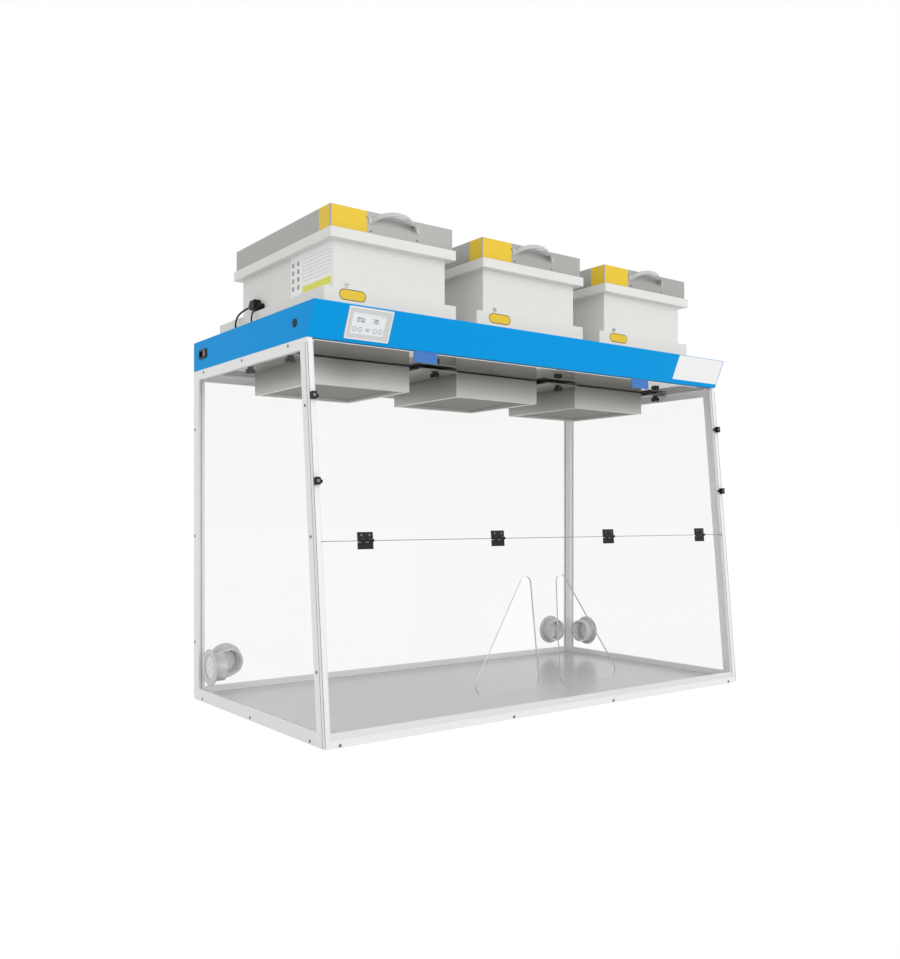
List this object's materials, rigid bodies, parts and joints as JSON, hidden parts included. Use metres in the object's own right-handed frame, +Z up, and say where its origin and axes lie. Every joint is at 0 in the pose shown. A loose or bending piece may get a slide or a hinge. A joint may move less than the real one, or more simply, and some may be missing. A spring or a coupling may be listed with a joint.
{
  "type": "fume hood",
  "caption": "Ductless bench fume hood with clear walls, a hinged lower front with arm openings, and fan and filter columns on a blue header.",
  "frame": {"origin": "centre of the underside of the base frame", "axes": "+X to the user's right, +Y to the back, +Z up; the front faces -Y"},
  "size_m": [1.6061, 0.8298, 1.3857],
  "materials": {
    "white_frame": "white powder coat",
    "clear_sheet": "clear acrylic sheet",
    "worktop": "light grey laminate",
    "ceiling": "polished sheet",
    "header_blue": "satin blue coat",
    "white_panel": "off-white coat",
    "filter_grey": "warm grey coat",
    "filter_box": "grey coat",
    "gasket": "foam gasket",
    "motor": "dark coat",
    "impeller": "moulded wheel",
    "handle": "pale grey strap",
    "display": "moulded bezel and screen",
    "black_plastic": "black moulding",
    "rocker_red": "dark red rocker",
    "clamp_bar": "white coat",
    "port_ring": "pale translucent moulding",
    "port_cap": "light grey moulding",
    "screw": "plated screw head",
    "lead": "black lead"
  },
  "bodies": {
    "hood": {"back_panel": "clear_sheet", "base_frame": "white_frame", "box_gaskets": "gasket", "carbon_filter_left": "filter_grey", "carbon_filter_middle": "filter_grey", "carbon_filter_right": "filter_grey", "ceiling_plate": "ceiling", "clamp_bars": "clamp_bar", "display_unit": "display", "fan_housing_left": "white_panel", "fan_housing_middle": "white_panel", "fan_housing_right": "white_panel", "fan_lead": "lead", "fan_motors": "motor", "filter_box_left": "filter_box", "filter_box_middle": "filter_box", "filter_box_right": "filter_box", "filter_handles": "handle", "frame_screws": "screw", "front_post_left": "white_frame", "front_post_right": "white_frame", "header_plug": "black_plastic", "header_shell": "header_blue", "lead_fittings": "black_plastic", "panel_tabs": "header_blue", "plinths": "white_panel", "port_rings": "port_ring", "power_inlet": "black_plastic", "rear_post_left": "white_frame", "rear_post_right": "white_frame", "sample_ports": "screw", "side_panel_left": "clear_sheet", "side_panel_right": "clear_sheet", "signal_lead": "lead", "top_frame": "white_frame", "upper_front_panel": "clear_sheet", "upper_hinge_halves": "black_plastic", "worktop": "worktop"},
    "door": {"lower_door": "clear_sheet", "lower_hinge_leaves": "black_plastic"},
    "power_rocker": {"power_rocker": "rocker_red"},
    "star_knob_1": {"star_knob_1": "black_plastic"},
    "star_knob_2": {"star_knob_2": "black_plastic"},
    "star_knob_3": {"star_knob_3": "black_plastic"},
    "star_knob_4": {"star_knob_4": "black_plastic"},
    "star_knob_5": {"star_knob_5": "black_plastic"},
    "star_knob_6": {"star_knob_6": "black_plastic"},
    "star_knob_7": {"star_knob_7": "black_plastic"},
    "star_knob_8": {"star_knob_8": "black_plastic"},
    "latch_knob_left_upper": {"latch_knob_left_upper": "black_plastic"},
    "latch_knob_left_lower": {"latch_knob_left_lower": "black_plastic"},
    "latch_knob_right_upper": {"latch_knob_right_upper": "black_plastic"},
    "latch_knob_right_lower": {"latch_knob_right_lower": "black_plastic"},
    "impeller_left": {"impeller_left": "impeller"},
    "impeller_middle": {"impeller_middle": "impeller"},
    "impeller_right": {"impeller_right": "impeller"},
    "port_cap_side_left": {"port_cap_side_left": "port_cap"},
    "port_cap_side_right": {"port_cap_side_right": "port_cap"},
    "port_cap_back_left": {"port_cap_back_left": "port_cap"},
    "port_cap_back_right": {"port_cap_back_right": "port_cap"}
  },
  "joints": [
    {"name": "door_hinge", "type": "hinge", "parent": "hood", "child": "door", "pos_m": [0, -0.37325, 0.50541], "axis": [-1, 0, 0], "range_deg": [0, 170]},
    {"name": "rocker_tilt", "type": "hinge", "parent": "hood", "child": "power_rocker", "pos_m": [-0.8025, 0.3255, 1.063], "axis": [0, 1, 0], "range_deg": [-10, 10]},
    {"name": "star_knob_1_turn", "type": "hinge", "parent": "hood", "child": "star_knob_1", "pos_m": [-0.735, -0.1105, 0.99], "axis": [0, 0, 1], "range_deg": [0, 720]},
    {"name": "star_knob_2_turn", "type": "hinge", "parent": "hood", "child": "star_knob_2", "pos_m": [-0.2528, -0.1105, 0.99], "axis": [0, 0, 1], "range_deg": [0, 720]},
    {"name": "star_knob_3_turn", "type": "hinge", "parent": "hood", "child": "star_knob_3", "pos_m": [0.2528, -0.1105, 0.99], "axis": [0, 0, 1], "range_deg": [0, 720]},
    {"name": "star_knob_4_turn", "type": "hinge", "parent": "hood", "child": "star_knob_4", "pos_m": [0.735, -0.1105, 0.99], "axis": [0, 0, 1], "range_deg": [0, 720]},
    {"name": "star_knob_5_turn", "type": "hinge", "parent": "hood", "child": "star_knob_5", "pos_m": [-0.735, 0.1395, 0.99], "axis": [0, 0, 1], "range_deg": [0, 720]},
    {"name": "star_knob_6_turn", "type": "hinge", "parent": "hood", "child": "star_knob_6", "pos_m": [-0.2528, 0.1395, 0.99], "axis": [0, 0, 1], "range_deg": [0, 720]},
    {"name": "star_knob_7_turn", "type": "hinge", "parent": "hood", "child": "star_knob_7", "pos_m": [0.2528, 0.1395, 0.99], "axis": [0, 0, 1], "range_deg": [0, 720]},
    {"name": "star_knob_8_turn", "type": "hinge", "parent": "hood", "child": "star_knob_8", "pos_m": [0.735, 0.1395, 0.99], "axis": [0, 0, 1], "range_deg": [0, 720]},
    {"name": "latch_knob_left_upper_turn", "type": "hinge", "parent": "hood", "child": "latch_knob_left_upper", "pos_m": [-0.7925, -0.34188, 0.86854], "axis": [0, -0.9959, 0.0902], "range_deg": [-90, 0]},
    {"name": "latch_knob_left_lower_turn", "type": "hinge", "parent": "hood", "child": "latch_knob_left_lower", "pos_m": [-0.7925, -0.36125, 0.65454], "axis": [0, -0.9959, 0.0902], "range_deg": [-90, 0]},
    {"name": "latch_knob_right_upper_turn", "type": "hinge", "parent": "hood", "child": "latch_knob_right_upper", "pos_m": [0.7925, -0.34188, 0.86854], "axis": [0, -0.9959, 0.0902], "range_deg": [0, 90]},
    {"name": "latch_knob_right_lower_turn", "type": "hinge", "parent": "hood", "child": "latch_knob_right_lower", "pos_m": [0.7925, -0.36125, 0.65454], "axis": [0, -0.9959, 0.0902], "range_deg": [0, 90]},
    {"name": "impeller_left_spin", "type": "hinge", "parent": "hood", "child": "impeller_left", "pos_m": [-0.5056, 0.021, 1.2], "axis": [0, 0, 1], "continuous": true},
    {"name": "impeller_middle_spin", "type": "hinge", "parent": "hood", "child": "impeller_middle", "pos_m": [0, 0.021, 1.2], "axis": [0, 0, 1], "continuous": true},
    {"name": "impeller_right_spin", "type": "hinge", "parent": "hood", "child": "impeller_right", "pos_m": [0.5056, 0.021, 1.2], "axis": [0, 0, 1], "continuous": true},
    {"name": "port_cap_side_left_turn", "type": "hinge", "parent": "hood", "child": "port_cap_side_left", "pos_m": [-0.7935, 0.2995, 0.11], "axis": [-1, 0, 0], "range_deg": [0, 90]},
    {"name": "port_cap_side_right_turn", "type": "hinge", "parent": "hood", "child": "port_cap_side_right", "pos_m": [0.7935, 0.2995, 0.11], "axis": [1, 0, 0], "range_deg": [0, 90]},
    {"name": "port_cap_back_left_turn", "type": "hinge", "parent": "hood", "child": "port_cap_back_left", "pos_m": [-0.697, 0.408, 0.11], "axis": [0, 1, 0], "range_deg": [0, 90]},
    {"name": "port_cap_back_right_turn", "type": "hinge", "parent": "hood", "child": "port_cap_back_right", "pos_m": [0.697, 0.408, 0.11], "axis": [0, 1, 0], "range_deg": [0, 90]}
  ]
}
